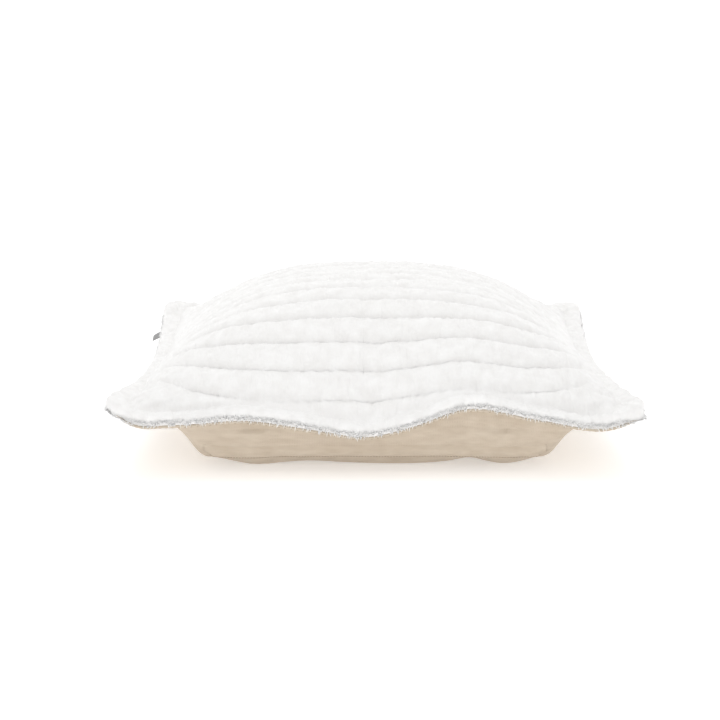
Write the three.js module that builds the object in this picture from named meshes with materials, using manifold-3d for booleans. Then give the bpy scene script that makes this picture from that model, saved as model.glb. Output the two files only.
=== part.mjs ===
// Pet cushion bed: a loosely filled square pillow. Millimetres, +Z up, front edge at -Y.
// The origin is on the floor, under the centre of the whole object's box.
import * as THREE from 'three';
import { mergeVertices } from 'three/addons/utils/BufferGeometryUtils.js';
import Module from 'manifold-3d';

const wasm = await Module();
wasm.setup();

// ---------------------------------------------------------------- driving dimensions

const HALF_SIDE = 350; // centre to corner tip, along X and along Y
const SIDE_PULL = 22; // how far the middle of each side draws in
const TOTAL_HEIGHT = 226;
const FLANGE = 0.945; // share of the half side where the sewn rim starts
const CENTRE_SEAM_X = -15;
const SEAM_GAP = 0.4;

const PLUSH = { rim: 12, field: 11 }; // pile and backing, at the rim and over the filling
const SEAM_CLEAR = 1.2; // from the seam's mid height up to the back of the plush
const CANVAS = 1.4;
// how the base hangs from its flat rim: its drop without a floor, and how square its wall is
const HANG = { drop: 334, across: 3.25, along: 4.27, wall: 2.64 };

// height of the seam above the floor along the front edge, from left corner to right corner
const FRONT_WAVE = {
  along: [-1, -0.9, -0.75, -0.48, -0.2, -0.035, 0.12, 0.34, 0.6, 0.86, 1],
  height: [98, 78, 75, 79, 64, 56, 68, 94, 81, 72, 87],
};
const RIM_HEIGHT = { corner: 104, middle: 84 }; // away from the front edge
const SIDE_SAG = 12;
const WAVE_FADES_AT = -0.45; // how far back, as a share of the half side, the front wave reaches

// the slit for the zip, low on the front of the base: y and z of its two edges
const SLIT = { fold: [-296, 38.5], upper: [-290, 33], lower: [-279, 23] };
const SLIT_REACH = { straight: 0.66, closed: 0.68, blended: 0.8 }; // share of the half width
const TUCK = [-273, 17.9]; // y and z where the base turns under, below the zip
const FLOOR_LINE_Y = -252; // where the front of the base meets the floor
const END_LIFT = { height: 10, from: 0.42, fadesAt: -0.5 }; // off the floor at the zip's ends

const CASE = { halfX: 288, halfY: 276, centreY: 16, clear: 5, cloth: 1.2 };
const FILL_CLEAR = 1.5;

const ZIP = { half: 205, coil: 2.5, coilGap: 1.4, tapeWidth: 11.5, tapeEnd: 7 };
const SLIDER = { x: 198, length: 9, width: 9, plate: 1, post: 0.9 };
const TAB = { length: 14, width: 6.4, thick: 1.1, pinHeight: 2.8 };
const FLAP = { half: 224, lift: 5.3, cloth: 1 };
const BINDING = { inner: 0.987, outer: 1, below: 3.2, above: 0.3 };
const LABEL = { at: 0.7, long: 24, sewn: 8, width: 10, thick: 1.1, droop: 0.36 };

// ---------------------------------------------------------------- materials

const MATERIALS = {
  plush: new THREE.MeshStandardMaterial({ color: 0xf7f6f4, roughness: 0.95, metalness: 0 }),
  canvas: new THREE.MeshStandardMaterial({ color: 0xd3c6b6, roughness: 0.9, metalness: 0 }),
  binding: new THREE.MeshStandardMaterial({ color: 0xcdbda8, roughness: 0.9, metalness: 0 }),
  lining: new THREE.MeshStandardMaterial({ color: 0xeeeeea, roughness: 0.85, metalness: 0 }),
  fibre: new THREE.MeshStandardMaterial({ color: 0xf4f4f2, roughness: 1, metalness: 0 }),
  tape: new THREE.MeshStandardMaterial({ color: 0xcabca8, roughness: 0.85, metalness: 0 }),
  nylon: new THREE.MeshStandardMaterial({ color: 0xc4b59f, roughness: 0.45, metalness: 0 }),
  metal: new THREE.MeshStandardMaterial({ color: 0xb9b2a6, roughness: 0.35, metalness: 1 }),
  label: new THREE.MeshStandardMaterial({ color: 0x9a9a99, roughness: 0.8, metalness: 0 }),
};

// ---------------------------------------------------------------- small helpers

const lerp = THREE.MathUtils.lerp;
const smooth = THREE.MathUtils.smoothstep;
const clamp = THREE.MathUtils.clamp;

function meshFromTriangles(points, triangles) {
  const geometry = new THREE.BufferGeometry();
  geometry.setAttribute('position', new THREE.Float32BufferAttribute(points.flat(), 3));
  geometry.setIndex(triangles);
  if (signedVolume(points, triangles) < 0) {
    for (let k = 0; k < triangles.length; k += 3) {
      [triangles[k], triangles[k + 1]] = [triangles[k + 1], triangles[k]];
    }
    geometry.setIndex(triangles);
  }
  return geometry;
}

function signedVolume(points, triangles) {
  let volume = 0;
  for (let k = 0; k < triangles.length; k += 3) {
    const [a, b, c] = [0, 1, 2].map((n) => new THREE.Vector3(...points[triangles[k + n]]));
    volume += a.dot(b.cross(c));
  }
  return volume;
}

// A closed solid between two surfaces, each a function of (u, v), over the same grid.
function solidBetween(upper, lower, us, vs) {
  const columns = us.length;
  const layer = columns * vs.length;
  const points = [upper, lower].flatMap((f) => vs.flatMap((v) => us.map((u) => f(u, v))));
  const at = (i, j, side) => side * layer + j * columns + i;
  const triangles = [];
  const quad = (a, b, c, d) => triangles.push(a, b, c, a, c, d);
  for (let j = 0; j < vs.length - 1; j++) {
    for (let i = 0; i < columns - 1; i++) {
      quad(at(i, j, 0), at(i + 1, j, 0), at(i + 1, j + 1, 0), at(i, j + 1, 0));
      // the lower face keeps the upper face's diagonal, so thin cloth never crosses itself
      const [a, b, c, d] = [at(i, j, 1), at(i + 1, j, 1), at(i + 1, j + 1, 1), at(i, j + 1, 1)];
      triangles.push(a, c, b, a, d, c);
    }
  }
  for (let i = 0; i < columns - 1; i++) {
    const last = vs.length - 1;
    quad(at(i, 0, 1), at(i + 1, 0, 1), at(i + 1, 0, 0), at(i, 0, 0));
    quad(at(i, last, 0), at(i + 1, last, 0), at(i + 1, last, 1), at(i, last, 1));
  }
  for (let j = 0; j < vs.length - 1; j++) {
    const last = columns - 1;
    quad(at(0, j, 0), at(0, j + 1, 0), at(0, j + 1, 1), at(0, j, 1));
    quad(at(last, j, 1), at(last, j + 1, 1), at(last, j + 1, 0), at(last, j, 0));
  }
  return meshFromTriangles(points, triangles);
}

// A closed ring through sections that all have the same number of corners.
function ringThrough(sections) {
  const corners = sections[0].length;
  const triangles = [];
  sections.forEach((_, k) => {
    const next = (k + 1) % sections.length;
    for (let c = 0; c < corners; c++) {
      const d = (c + 1) % corners;
      const [p, q, r, s] = [k * corners + c, next * corners + c, next * corners + d, k * corners + d];
      triangles.push(p, q, r, p, r, s);
    }
  });
  return meshFromTriangles(sections.flat(), triangles);
}

function toSolid(geometry) {
  const bare = geometry.clone();
  bare.deleteAttribute('normal');
  bare.deleteAttribute('uv');
  const merged = mergeVertices(bare, 1e-4);
  return new wasm.Manifold(new wasm.Mesh({
    numProp: 3,
    vertProperties: new Float32Array(merged.attributes.position.array),
    triVerts: new Uint32Array(merged.index.array),
  }));
}

function toGeometry(solid) {
  const { vertProperties, triVerts } = solid.getMesh();
  const geometry = new THREE.BufferGeometry();
  geometry.setAttribute('position', new THREE.Float32BufferAttribute(vertProperties, 3));
  geometry.setIndex(Array.from(triVerts));
  return geometry;
}

function joined(geometries) {
  return toGeometry(geometries.map(toSolid).reduce((a, b) => a.add(b)));
}

// ---------------------------------------------------------------- the pillow's surfaces

// s and t run from -1 to 1 across the plan; the sides draw in between the corners
function plan(s, t) {
  const x = s * (HALF_SIDE - SIDE_PULL * (1 - t * t));
  const y = t * (HALF_SIDE - SIDE_PULL * (1 - s * s));
  return [x, y];
}

function planInverse(x, y) {
  let [s, t] = [x / HALF_SIDE, y / HALF_SIDE];
  for (let pass = 0; pass < 4; pass++) {
    s = x / (HALF_SIDE - SIDE_PULL * (1 - t * t));
    t = y / (HALF_SIDE - SIDE_PULL * (1 - s * s));
  }
  return [s, t];
}

const frontWave = new THREE.CubicInterpolant(FRONT_WAVE.along, FRONT_WAVE.height, 1);

// height of the sewn edge, carried smoothly across the inside of the plan
function rim(s, t) {
  const front = frontWave.evaluate(clamp(s, -1, 1))[0];
  const level = lerp(RIM_HEIGHT.middle, RIM_HEIGHT.corner, s * s * t * t);
  return lerp(front, level, smooth(t, -1, WAVE_FADES_AT)) - SIDE_SAG * (1 - t * t) * s * s;
}

// 0 along the sewn rim and 1 in the middle; a larger flatness gives a flatter top
function crown(s, t, flatness) {
  const [a, b] = [s, t].map((v) => Math.min(1, Math.abs(v) / FLANGE));
  return (1 - Math.pow(a, flatness)) * (1 - Math.pow(b, flatness));
}

const CROWN_HEIGHT = TOTAL_HEIGHT - PLUSH.field - rim(0, 0);

function plushInside(s, t) {
  return rim(s, t) + SEAM_CLEAR + (CROWN_HEIGHT - SEAM_CLEAR) * crown(s, t, 3);
}

function plushOutside(s, t) {
  return plushInside(s, t) + lerp(PLUSH.rim, PLUSH.field, crown(s, t, 3));
}

function looseUnder(s, t) {
  const [a, b] = [s, t].map((v) => Math.min(1, Math.abs(v) / FLANGE));
  const share = Math.max(0, 1 - Math.pow(a, HANG.across) - Math.pow(b, HANG.along));
  const hang = HANG.drop * Math.pow(share, HANG.wall);
  return Math.max(0, rim(s, t) - CANVAS - SEAM_GAP - hang);
}

const MIDDLE = HALF_SIDE - SIDE_PULL;
const SLIT_T = [SLIT.upper[0] / MIDDLE, SLIT.lower[0] / MIDDLE];
const FOLD_T = SLIT.fold[0] / MIDDLE;
const TUCK_T = TUCK[0] / MIDDLE;
const FLOOR_T = FLOOR_LINE_Y / MIDDLE;

// 1 over the straight part of the zip, 0 out in the corners
const slitShare = (s) => 1 - smooth(Math.abs(s), SLIT_REACH.straight, SLIT_REACH.blended);

// 1 where the slit is open, 0 where the strip and the base are sewn together
const slitOpen = (s) => 1 - smooth(Math.abs(s), SLIT_REACH.straight, SLIT_REACH.closed);

// a point on the outside of the base, whose front is straight where the zip lies
function underside(s, t) {
  const [x, y] = plan(s, t);
  const z = looseUnder(s, t);
  if (t <= -FLANGE) {
    return [x, y, z];
  }
  const w = slitShare(s);
  const lift = END_LIFT.height * smooth(Math.abs(s), END_LIFT.from, SLIT_REACH.straight);
  if (t >= FLOOR_T) {
    const fade = 1 - smooth(t, FLOOR_T, END_LIFT.fadesAt);
    return [x, y, lerp(z, lift, w * fade)];
  }
  const hem = [plan(s, -FLANGE)[1], looseUnder(s, -FLANGE)];
  const stops = [-FLANGE, FOLD_T, SLIT_T[0], SLIT_T[1], TUCK_T, FLOOR_T];
  const line = [hem, SLIT.fold, SLIT.upper, SLIT.lower, TUCK, [FLOOR_LINE_Y, lift]];
  const k = stops.findIndex((stop) => t <= stop);
  const share = (t - stops[k - 1]) / (stops[k] - stops[k - 1]);
  const [straightY, straightZ] = [0, 1].map((n) => lerp(line[k - 1][n], line[k][n], share));
  return [x, lerp(y, straightY, w), lerp(z, straightZ, w)];
}

const raised = (point, height) => [point[0], point[1], point[2] + height];

// ---------------------------------------------------------------- cover

const EDGE_LINES = [
  -1, -0.975, -FLANGE, -0.91, -0.86, -0.8, -0.73, -0.68, -0.66, -0.58, -0.5, -0.4, -0.25, -0.12,
];
const SEAM_LINE = CENTRE_SEAM_X / MIDDLE;
const ALL_LINES = [...EDGE_LINES, SEAM_LINE, ...EDGE_LINES.map((v) => -v).reverse()];

function plushHalf(side) {
  const seam = SEAM_LINE + side * SEAM_GAP / 2 / MIDDLE;
  const outerLines = ALL_LINES.filter((v) => (v - SEAM_LINE) * side > 0);
  const us = side < 0 ? [...outerLines, seam] : [seam, ...outerLines];
  const at = (height) => (s, t) => [...plan(s, t), height(s, t)];
  return solidBetween(at(plushOutside), at(plushInside), us, ALL_LINES);
}

const CLOTH_LINES = ALL_LINES.map((v) => clamp(v, -0.985, 0.985));

const SLIT_MIDDLE_T = (SLIT_T[0] + SLIT_T[1]) / 2;
const SEWN_GAP_T = 0.001; // half the gap where the strip and the base are sewn together

function basePanel() {
  const start = (s) => lerp(SLIT_MIDDLE_T + SEWN_GAP_T, SLIT_T[1], slitOpen(s));
  const behind = CLOTH_LINES.filter((v) => v > FLOOR_T + 0.03);
  const rows = [start, ...[TUCK_T, FLOOR_T, ...behind].map((v) => () => v)];
  const outside = (s, row) => underside(s, rows[row](s));
  const inside = (s, row) => raised(outside(s, row), CANVAS);
  return solidBetween(inside, outside, CLOTH_LINES, [...rows.keys()]);
}

function frontStrip() {
  const end = (s) => lerp(SLIT_MIDDLE_T - SEWN_GAP_T, SLIT_T[0], slitOpen(s));
  const rows = [() => -0.985, () => -FLANGE, () => (FOLD_T - FLANGE) / 2, () => FOLD_T, end];
  const outside = (s, row) => underside(s, rows[row](s));
  const inside = (s, row) => raised(outside(s, row), CANVAS);
  return solidBetween(inside, outside, CLOTH_LINES, [...rows.keys()]);
}

function hemBinding() {
  const sections = [];
  const back = [...ALL_LINES].reverse();
  for (let side = 0; side < 4; side++) {
    for (const a of (side < 2 ? ALL_LINES : back).slice(0, -1)) {
      const [s, t] = [[a, -1], [1, a], [a, 1], [-1, a]][side];
      const corner = (share, height) => {
        const [u, v] = [s * share, t * share];
        return [...plan(u, v), rim(u, v) + height];
      };
      const { inner, outer, below, above } = BINDING;
      sections.push([
        corner(inner, -below), corner(outer, -below), corner(outer, above), corner(inner, above),
      ]);
    }
  }
  return ringThrough(sections);
}

// ---------------------------------------------------------------- inner cushion

const CASE_LINES = [-1, -0.97, -0.9, -0.78, -0.6, -0.4, -0.2, 0, 0.2, 0.4, 0.6, 0.78, 0.9, 0.97, 1];

// a point on the outside of the inner case's top (side 1) or base (side -1)
function casePoint(u, v, side) {
  const x = u * CASE.halfX;
  const y = CASE.centreY + v * CASE.halfY;
  const [s, t] = planInverse(x, y);
  const seam = rim(s, t) + 6 + side * (CASE.cloth + 0.2);
  const swell = Math.pow((1 - Math.pow(u, 6)) * (1 - Math.pow(v, 6)), 0.8);
  const wall = side > 0 ? plushInside(s, t) : underside(s, t)[2] + CANVAS;
  return [x, y, lerp(seam, wall - side * CASE.clear, swell)];
}

function caseHalf(side) {
  const outer = (u, v) => casePoint(u, v, side);
  const inner = (u, v) => raised(outer(u, v), -side * CASE.cloth);
  return solidBetween(outer, inner, CASE_LINES, CASE_LINES);
}

function fibreFill() {
  const depth = CASE.cloth + FILL_CLEAR;
  const face = (side) => (u, v) => raised(casePoint(u, v, side), -side * depth);
  const lines = CASE_LINES.slice(1, -1);
  return solidBetween(face(1), face(-1), lines, lines);
}

// ---------------------------------------------------------------- zip

// The zip has its own axes: X along it, Y up the slope of the base, Z out of the base.
const upSlope = new THREE.Vector3(0, SLIT.upper[0] - SLIT.lower[0], SLIT.upper[1] - SLIT.lower[1]);
upSlope.normalize();
const alongX = new THREE.Vector3(1, 0, 0);
const outward = alongX.clone().cross(upSlope);
const zipCentre = [0, 1].map((n) => (SLIT.upper[n] + SLIT.lower[n]) / 2);
const SLIT_HALF = Math.hypot(SLIT.upper[0] - zipCentre[0], SLIT.upper[1] - zipCentre[1]);

// heights along the zip's own Z
const TAPE_Z = [-2.3, -1.5];
const COIL_Z = [-1.25, 0.5];
const OUTER_PLATE_Z = 0.85;
const INNER_PLATE_Z = -3.7;

function bar(x, y, z) {
  const box = new THREE.BoxGeometry(x[1] - x[0], y[1] - y[0], z[1] - z[0]);
  return box.translate((x[0] + x[1]) / 2, (y[0] + y[1]) / 2, (z[0] + z[1]) / 2);
}

// an outline in the zip's YZ plane, drawn out along X
function alongZip(outline, half) {
  const shape = new THREE.Shape(outline.map(([y, z]) => new THREE.Vector2(y, z)));
  const geometry = new THREE.ExtrudeGeometry(shape, { depth: 2 * half, bevelEnabled: false });
  const [x, y, z] = [0, 1, 2].map((n) => new THREE.Vector3().setComponent(n, 1));
  return geometry.applyMatrix4(new THREE.Matrix4().makeBasis(y, z, x)).translate(-half, 0, 0);
}

function zipTape(side) {
  const edges = [ZIP.coilGap / 2 + 0.1, ZIP.coilGap / 2 + 0.1 + ZIP.tapeWidth];
  const y = side > 0 ? edges : [-edges[1], -edges[0]];
  return bar([-ZIP.half - ZIP.tapeEnd, ZIP.half + ZIP.tapeEnd], y, TAPE_Z);
}

// the coil of one side, as a bar with rounded shoulders
function zipCoil(side) {
  const [near, far] = [ZIP.coilGap / 2, ZIP.coilGap / 2 + ZIP.coil];
  const [low, high] = COIL_Z;
  const shoulder = 0.5;
  const outline = [
    [near, low], [far, low], [far, high - shoulder], [far - shoulder, high],
    [near + shoulder, high], [near, high - shoulder],
  ];
  return alongZip(outline.map(([y, z]) => [side * y, z]), ZIP.half);
}

function topStops() {
  const x = [ZIP.half + 0.4, ZIP.half + 3];
  const y = [ZIP.coilGap / 2, ZIP.coilGap / 2 + ZIP.coil];
  return [bar(x, y, COIL_Z), bar(x, [-y[1], -y[0]], COIL_Z)];
}

function bottomStop() {
  const reach = ZIP.coilGap / 2 + ZIP.coil;
  return bar([-ZIP.half - 3.5, -ZIP.half - 0.4], [-reach, reach], COIL_Z);
}

function sliderPlate(z) {
  const [end, wide, narrow] = [SLIDER.length / 2, SLIDER.width / 2, SLIDER.width / 2 - 1.2];
  const shape = new THREE.Shape();
  shape.moveTo(end - 1, -wide);
  shape.quadraticCurveTo(end, -wide, end, -wide + 1.5);
  shape.lineTo(end, wide - 1.5);
  shape.quadraticCurveTo(end, wide, end - 1, wide);
  shape.quadraticCurveTo(0, wide - 0.3, -end, narrow);
  shape.lineTo(-end, -narrow);
  shape.quadraticCurveTo(0, -wide + 0.3, end - 1, -wide);
  const options = { depth: SLIDER.plate, bevelEnabled: false, curveSegments: 5 };
  return new THREE.ExtrudeGeometry(shape, options).translate(0, 0, z);
}

// the bridge that holds the pull tab's pin, over the outer plate
function sliderBridge() {
  const base = OUTER_PLATE_Z + SLIDER.plate - 0.1;
  const [reach, top, wall] = [3.6, 3.1, 0.9];
  const shape = new THREE.Shape();
  shape.moveTo(-reach, 0);
  shape.lineTo(reach, 0);
  shape.quadraticCurveTo(reach, top, reach - 1.6, top);
  shape.lineTo(-reach + 1.6, top);
  shape.quadraticCurveTo(-reach, top, -reach, 0);
  const hole = new THREE.Path();
  hole.moveTo(-reach + 1.5, 0.3);
  hole.lineTo(-reach + 1.7, top - wall);
  hole.lineTo(reach - 1.7, top - wall);
  hole.lineTo(reach - 1.5, 0.3);
  shape.holes.push(hole);
  const width = 2;
  const options = { depth: width, bevelEnabled: false, curveSegments: 4 };
  const bridge = new THREE.ExtrudeGeometry(shape, options).rotateX(Math.PI / 2);
  return bridge.translate(0, width / 2, base);
}

function zipSlider() {
  const half = SLIDER.post / 2;
  const post = bar([-1.8, 1.8], [-half, half], [INNER_PLATE_Z + 0.5, OUTER_PLATE_Z + 0.5]);
  const plates = [sliderPlate(OUTER_PLATE_Z), sliderPlate(INNER_PLATE_Z)];
  return joined([...plates, post, sliderBridge()]);
}

// the tab lies towards +X, with its pin through the bridge at the origin
function pullTab() {
  const half = TAB.thick / 2;
  const arm = [1.35, 2.4];
  const pin = new THREE.CylinderGeometry(0.5, 0.5, 2 * arm[1] - 0.2, 10);
  const across = [arm, [-arm[1], -arm[0]]];
  const arms = across.map((y) => bar([-0.55, 7], y, [-half, half]));
  const blade = new THREE.Shape();
  const [from, wide] = [5.2, TAB.width / 2];
  blade.moveTo(from, -wide + 0.8);
  blade.lineTo(from + 1, -wide);
  blade.lineTo(TAB.length - 2, -wide);
  blade.quadraticCurveTo(TAB.length, -wide, TAB.length, 0);
  blade.quadraticCurveTo(TAB.length, wide, TAB.length - 2, wide);
  blade.lineTo(from + 1, wide);
  blade.lineTo(from, wide - 0.8);
  const options = { depth: TAB.thick, bevelEnabled: false, curveSegments: 6 };
  return joined([pin, ...arms, new THREE.ExtrudeGeometry(blade, options).translate(0, 0, -half)]);
}

// the fold of canvas that hides the zip: sewn down above the slit and open below it
function zipFlap() {
  const [low, high] = [FLAP.lift, FLAP.lift + FLAP.cloth];
  const [foot, edge] = [SLIT_HALF + 0.8, -SLIT_HALF + 0.3];
  const outline = [
    [edge, low], [foot - 0.2, low], [foot + 1.8, 0.4], [foot + 6, 0.4],
    [foot + 6, 0.4 + FLAP.cloth], [foot + 3, 0.4 + FLAP.cloth], [foot + 0.8, high], [edge, high],
  ];
  return alongZip(outline, FLAP.half);
}

// ---------------------------------------------------------------- side label

// a folded strip of woven tape, sewn in low on the left edge near the back corner
function sideLabel() {
  const [x, y] = plan(-1, LABEL.at);
  const tab = bar([-LABEL.long, 0], [-LABEL.width / 2, LABEL.width / 2], [-LABEL.thick, 0]);
  tab.rotateY(-LABEL.droop);
  return tab.translate(x + LABEL.sewn, y, rim(-1, LABEL.at) - BINDING.below - 0.6);
}

// ---------------------------------------------------------------- assembly

const cushion = new THREE.Group();
const zip = new THREE.Group();
zip.quaternion.setFromRotationMatrix(new THREE.Matrix4().makeBasis(alongX, upSlope, outward));
zip.position.set(0, zipCentre[0], zipCentre[1]);
cushion.add(zip);

function place(parent, name, geometry, material, position = [0, 0, 0]) {
  const mesh = new THREE.Mesh(geometry, MATERIALS[material]);
  mesh.name = name;
  mesh.position.set(...position);
  parent.add(mesh);
}

place(cushion, 'cover_plush_left', plushHalf(-1), 'plush');
place(cushion, 'cover_plush_right', plushHalf(1), 'plush');
place(cushion, 'cover_base_panel', basePanel(), 'canvas');
place(cushion, 'cover_front_strip', frontStrip(), 'canvas');
place(cushion, 'hem_binding', hemBinding(), 'binding');
place(cushion, 'side_label', sideLabel(), 'label');
place(cushion, 'inner_case_top', caseHalf(1), 'lining');
place(cushion, 'inner_case_base', caseHalf(-1), 'lining');
place(cushion, 'fibre_fill', fibreFill(), 'fibre');
place(zip, 'zip_flap', zipFlap(), 'canvas');
place(zip, 'zip_tape_upper', zipTape(1), 'tape');
place(zip, 'zip_tape_lower', zipTape(-1), 'tape');
place(zip, 'zip_coil_upper', zipCoil(1), 'nylon');
place(zip, 'zip_coil_lower', zipCoil(-1), 'nylon');
topStops().forEach((stop, k) => place(zip, `zip_top_stop_${['upper', 'lower'][k]}`, stop, 'metal'));
place(zip, 'zip_bottom_stop', bottomStop(), 'metal');
place(zip, 'zip_slider', zipSlider(), 'metal', [SLIDER.x, 0, 0]);
place(zip, 'zip_pull_tab', pullTab(), 'metal', [SLIDER.x, 0, TAB.pinHeight]);

export default cushion;
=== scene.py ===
import math
import bpy
import numpy as np
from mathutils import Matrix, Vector


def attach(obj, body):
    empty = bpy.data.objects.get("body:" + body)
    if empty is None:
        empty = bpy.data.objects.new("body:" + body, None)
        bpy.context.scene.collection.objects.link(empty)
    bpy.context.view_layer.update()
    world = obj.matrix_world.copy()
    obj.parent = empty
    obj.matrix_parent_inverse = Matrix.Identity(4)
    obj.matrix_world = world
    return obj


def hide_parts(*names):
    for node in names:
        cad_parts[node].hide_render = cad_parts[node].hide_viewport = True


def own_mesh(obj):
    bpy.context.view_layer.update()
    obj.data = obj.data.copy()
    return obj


# Looks of the pet cushion bed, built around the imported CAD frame. Metres, +Z up, front at -Y.

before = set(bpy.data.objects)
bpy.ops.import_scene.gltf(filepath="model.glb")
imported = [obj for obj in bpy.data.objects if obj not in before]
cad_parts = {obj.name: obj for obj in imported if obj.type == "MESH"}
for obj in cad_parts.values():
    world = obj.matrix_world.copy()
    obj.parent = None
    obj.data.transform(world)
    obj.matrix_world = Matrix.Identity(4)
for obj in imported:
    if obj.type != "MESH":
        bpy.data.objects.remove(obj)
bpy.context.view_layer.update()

# ---------------------------------------------------------------- driving dimensions

HALF_SIDE = 0.35
SIDE_PULL = 0.022
CORNER_CUT = 0.03        # how far the corner tips are rounded back, as a share of the half side
FLANGE = 0.945           # share of the half side where the sewn rim starts
SEAM_X = -0.015          # the plush top's centre seam
MIDDLE = HALF_SIDE - SIDE_PULL
SEAM_S = SEAM_X / MIDDLE

# height of the front edge's seam, from its left tip at -1 to its right tip at 1
FRONT_ALONG = [-1, -0.9, -0.75, -0.48, -0.2, -0.035, 0.12, 0.34, 0.6, 0.86, 1]
FRONT_HEIGHT = [0.098, 0.078, 0.075, 0.079, 0.064, 0.056, 0.068, 0.094, 0.081, 0.072, 0.087]
WAVE_FADES_AT = -0.45    # how far back, as a share of the half side, that wave reaches
RIM_MIDDLE, RIM_CORNER = 0.084, 0.104   # height of the seam elsewhere
SIDE_SAG = 0.012         # how much lower it is at the middle of each side
DOME = 0.127             # how far the middle of the filling stands above the rim
DOME_POWER = 3
RIM_PILE, FIELD_PILE = 0.016, 0.011   # thickness of the plush over the rim and over the filling
CORNER_PILE = 0.004      # more of it at the corner tips
RIM_BULGE = 0.0055       # how far the pile stands out past the binding
BULGE_WIDTH = 0.02
ROLL_WIDTH = 0.009       # width over which the pile rounds off towards the edge
CORNER_SOFT = 0.009      # how far that rounding spreads at a corner
VALLEY_IN, VALLEY_WIDTH, VALLEY_DEPTH = 0.024, 0.0075, 0.0055   # the sewn line inside the rim

RIB_PITCH = 0.0415
FIRST_GROOVE = 0.054     # along the plush from the front seam
RIB_DEPTH = 0.0088
GROOVE_SHARPNESS = 3.8
RIB_BEND = 0.9           # how the ribs curve towards the sides
RIB_WAVE, RIB_WAVE_LENGTH = 0.022, 0.92   # how they follow the wave of the front edge
RIB_DRIFT = 0.006

# how the canvas hangs from the rim: the same curve as in the CAD
HANG_DROP, HANG_ACROSS, HANG_ALONG, HANG_WALL = 0.334, 3.25, 4.27, 2.64
FLOOR_BEND = 0.004       # how softly it meets the floor
FLOOR_CLEAR = 0.0004
CANVAS = 0.0014
SEAM_GAP = 0.0004
# y and z of the fold above the zip, and of the two edges of its slit
SLIT = {"fold": (-0.296, 0.0385), "upper": (-0.290, 0.033), "lower": (-0.279, 0.023)}
# shares of the half width: where the front of the base is straight, and where it no longer is
SLIT_STRAIGHT, SLIT_BLENDED = 0.66, 0.8
SLIT_OPEN, SLIT_CLOSED = 0.606, 0.62   # the same for the slit's gap: open, and sewn shut
TUCK = (-0.273, 0.0179)  # y and z where the base turns under, below the zip
FLOOR_LINE_Y = -0.252    # where the front of the base meets the floor
LEVEL_FADES_AT = -0.5    # how far back, as a share of the half side, its lift fades out
# how far the front of the base is off the floor, from one end of the zip to the other
LIFT_ALONG = [-0.216, -0.18, -0.158, -0.125, -0.09, -0.04, 0, 0.05, 0.1, 0.128, 0.15, 0.17,
              0.2, 0.216]
LIFT_HEIGHT = [0.010, 0.003, 0, 0.002, 0.004, 0.0015, 0, 0, 0.004, 0.009, 0.005, 0.002, 0.005, 0.010]
# the lower edge of the lip over the zip, down the slope from the zip's middle
LIP_ALONG = [-0.226, -0.214, -0.2, -0.158, -0.128, -0.1, -0.02, 0.03, 0.1, 0.13, 0.165, 0.19,
             0.214, 0.226]
LIP_EDGE = [-0.001, -0.0055, -0.0075, -0.0092, -0.0062, -0.0052, -0.0048, -0.0048, -0.0042, -0.005,
            -0.0076, -0.0078, -0.0055, -0.001]
LIP_HALF = 0.226
LIP_DEEPEST = 0.0074     # how far down the section of the lip reaches before it is shaped
LIP_HANGS_FROM, LIP_HANG = 0.007, 0.0144   # up the slope, where it comes free, and how far it hangs
LABEL_AT = 0.7           # along the left edge, as a share of the half side

rng = np.random.default_rng(20)

# ---------------------------------------------------------------- numbers over grids


def smooth(x, a, b):
    u = np.clip((x - a) / (b - a), 0, 1)
    return u * u * (3 - 2 * u)


def mix(a, b, w):
    return a + (b - a) * w


def curve(x, knots, values):
    """A smooth curve through the given values."""
    k, v = np.array(knots, float), np.array(values, float)
    slope = np.gradient(v, k)
    x = np.clip(x, k[0], k[-1])
    i = np.clip(np.searchsorted(k, x) - 1, 0, len(k) - 2)
    h = k[i + 1] - k[i]
    u = (x - k[i]) / h
    a = (1 + 2 * u) * (1 - u) ** 2 * v[i] + u * (1 - u) ** 2 * h * slope[i]
    return a + u * u * (3 - 2 * u) * v[i + 1] + u * u * (u - 1) * h * slope[i + 1]


LATTICE = rng.random((256, 256))


def noise(x, y, size_x, size_y, layer):
    """Smooth noise from -1 to 1 with lumps of the given size. Each layer has its own pattern."""
    u, v = x / size_x + 37.3 * layer, y / size_y + 71.7 * layer
    i, j = np.floor(u).astype(int), np.floor(v).astype(int)
    a, b = u - i, v - j
    a, b = a * a * (3 - 2 * a), b * b * (3 - 2 * b)
    at = lambda p, q: LATTICE[p % 256, q % 256]
    low = mix(at(i, j), at(i + 1, j), a)
    high = mix(at(i, j + 1), at(i + 1, j + 1), a)
    return 2 * mix(low, high, b) - 1


def blurred(grid, passes):
    """Grid points averaged with their neighbours; the outermost lines stay."""
    for _ in range(passes):
        inner = (grid[:-2, 1:-1] + grid[2:, 1:-1] + grid[1:-1, :-2] + grid[1:-1, 2:]) / 4
        new = grid.copy()
        new[1:-1, 1:-1] = mix(grid[1:-1, 1:-1], inner, 0.6)
        grid = new
    return grid


def grid_normals(grid):
    across = np.gradient(grid, axis=1)
    along = np.gradient(grid, axis=0)
    n = np.cross(across, along)
    return n / np.maximum(np.linalg.norm(n, axis=-1, keepdims=True), 1e-12)


# ---------------------------------------------------------------- the pillow's shape


def plan(s, t):
    """Where a point lies. Its s and t run from -1 to 1, left to right and front to back."""
    cut = 1 - CORNER_CUT * np.abs(s * t) ** 14
    x = s * (HALF_SIDE - SIDE_PULL * (1 - t * t)) * cut
    y = t * (HALF_SIDE - SIDE_PULL * (1 - s * s)) * cut
    return x, y


def wave_share(t):
    return 1 - smooth(t, -1, WAVE_FADES_AT)


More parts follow.
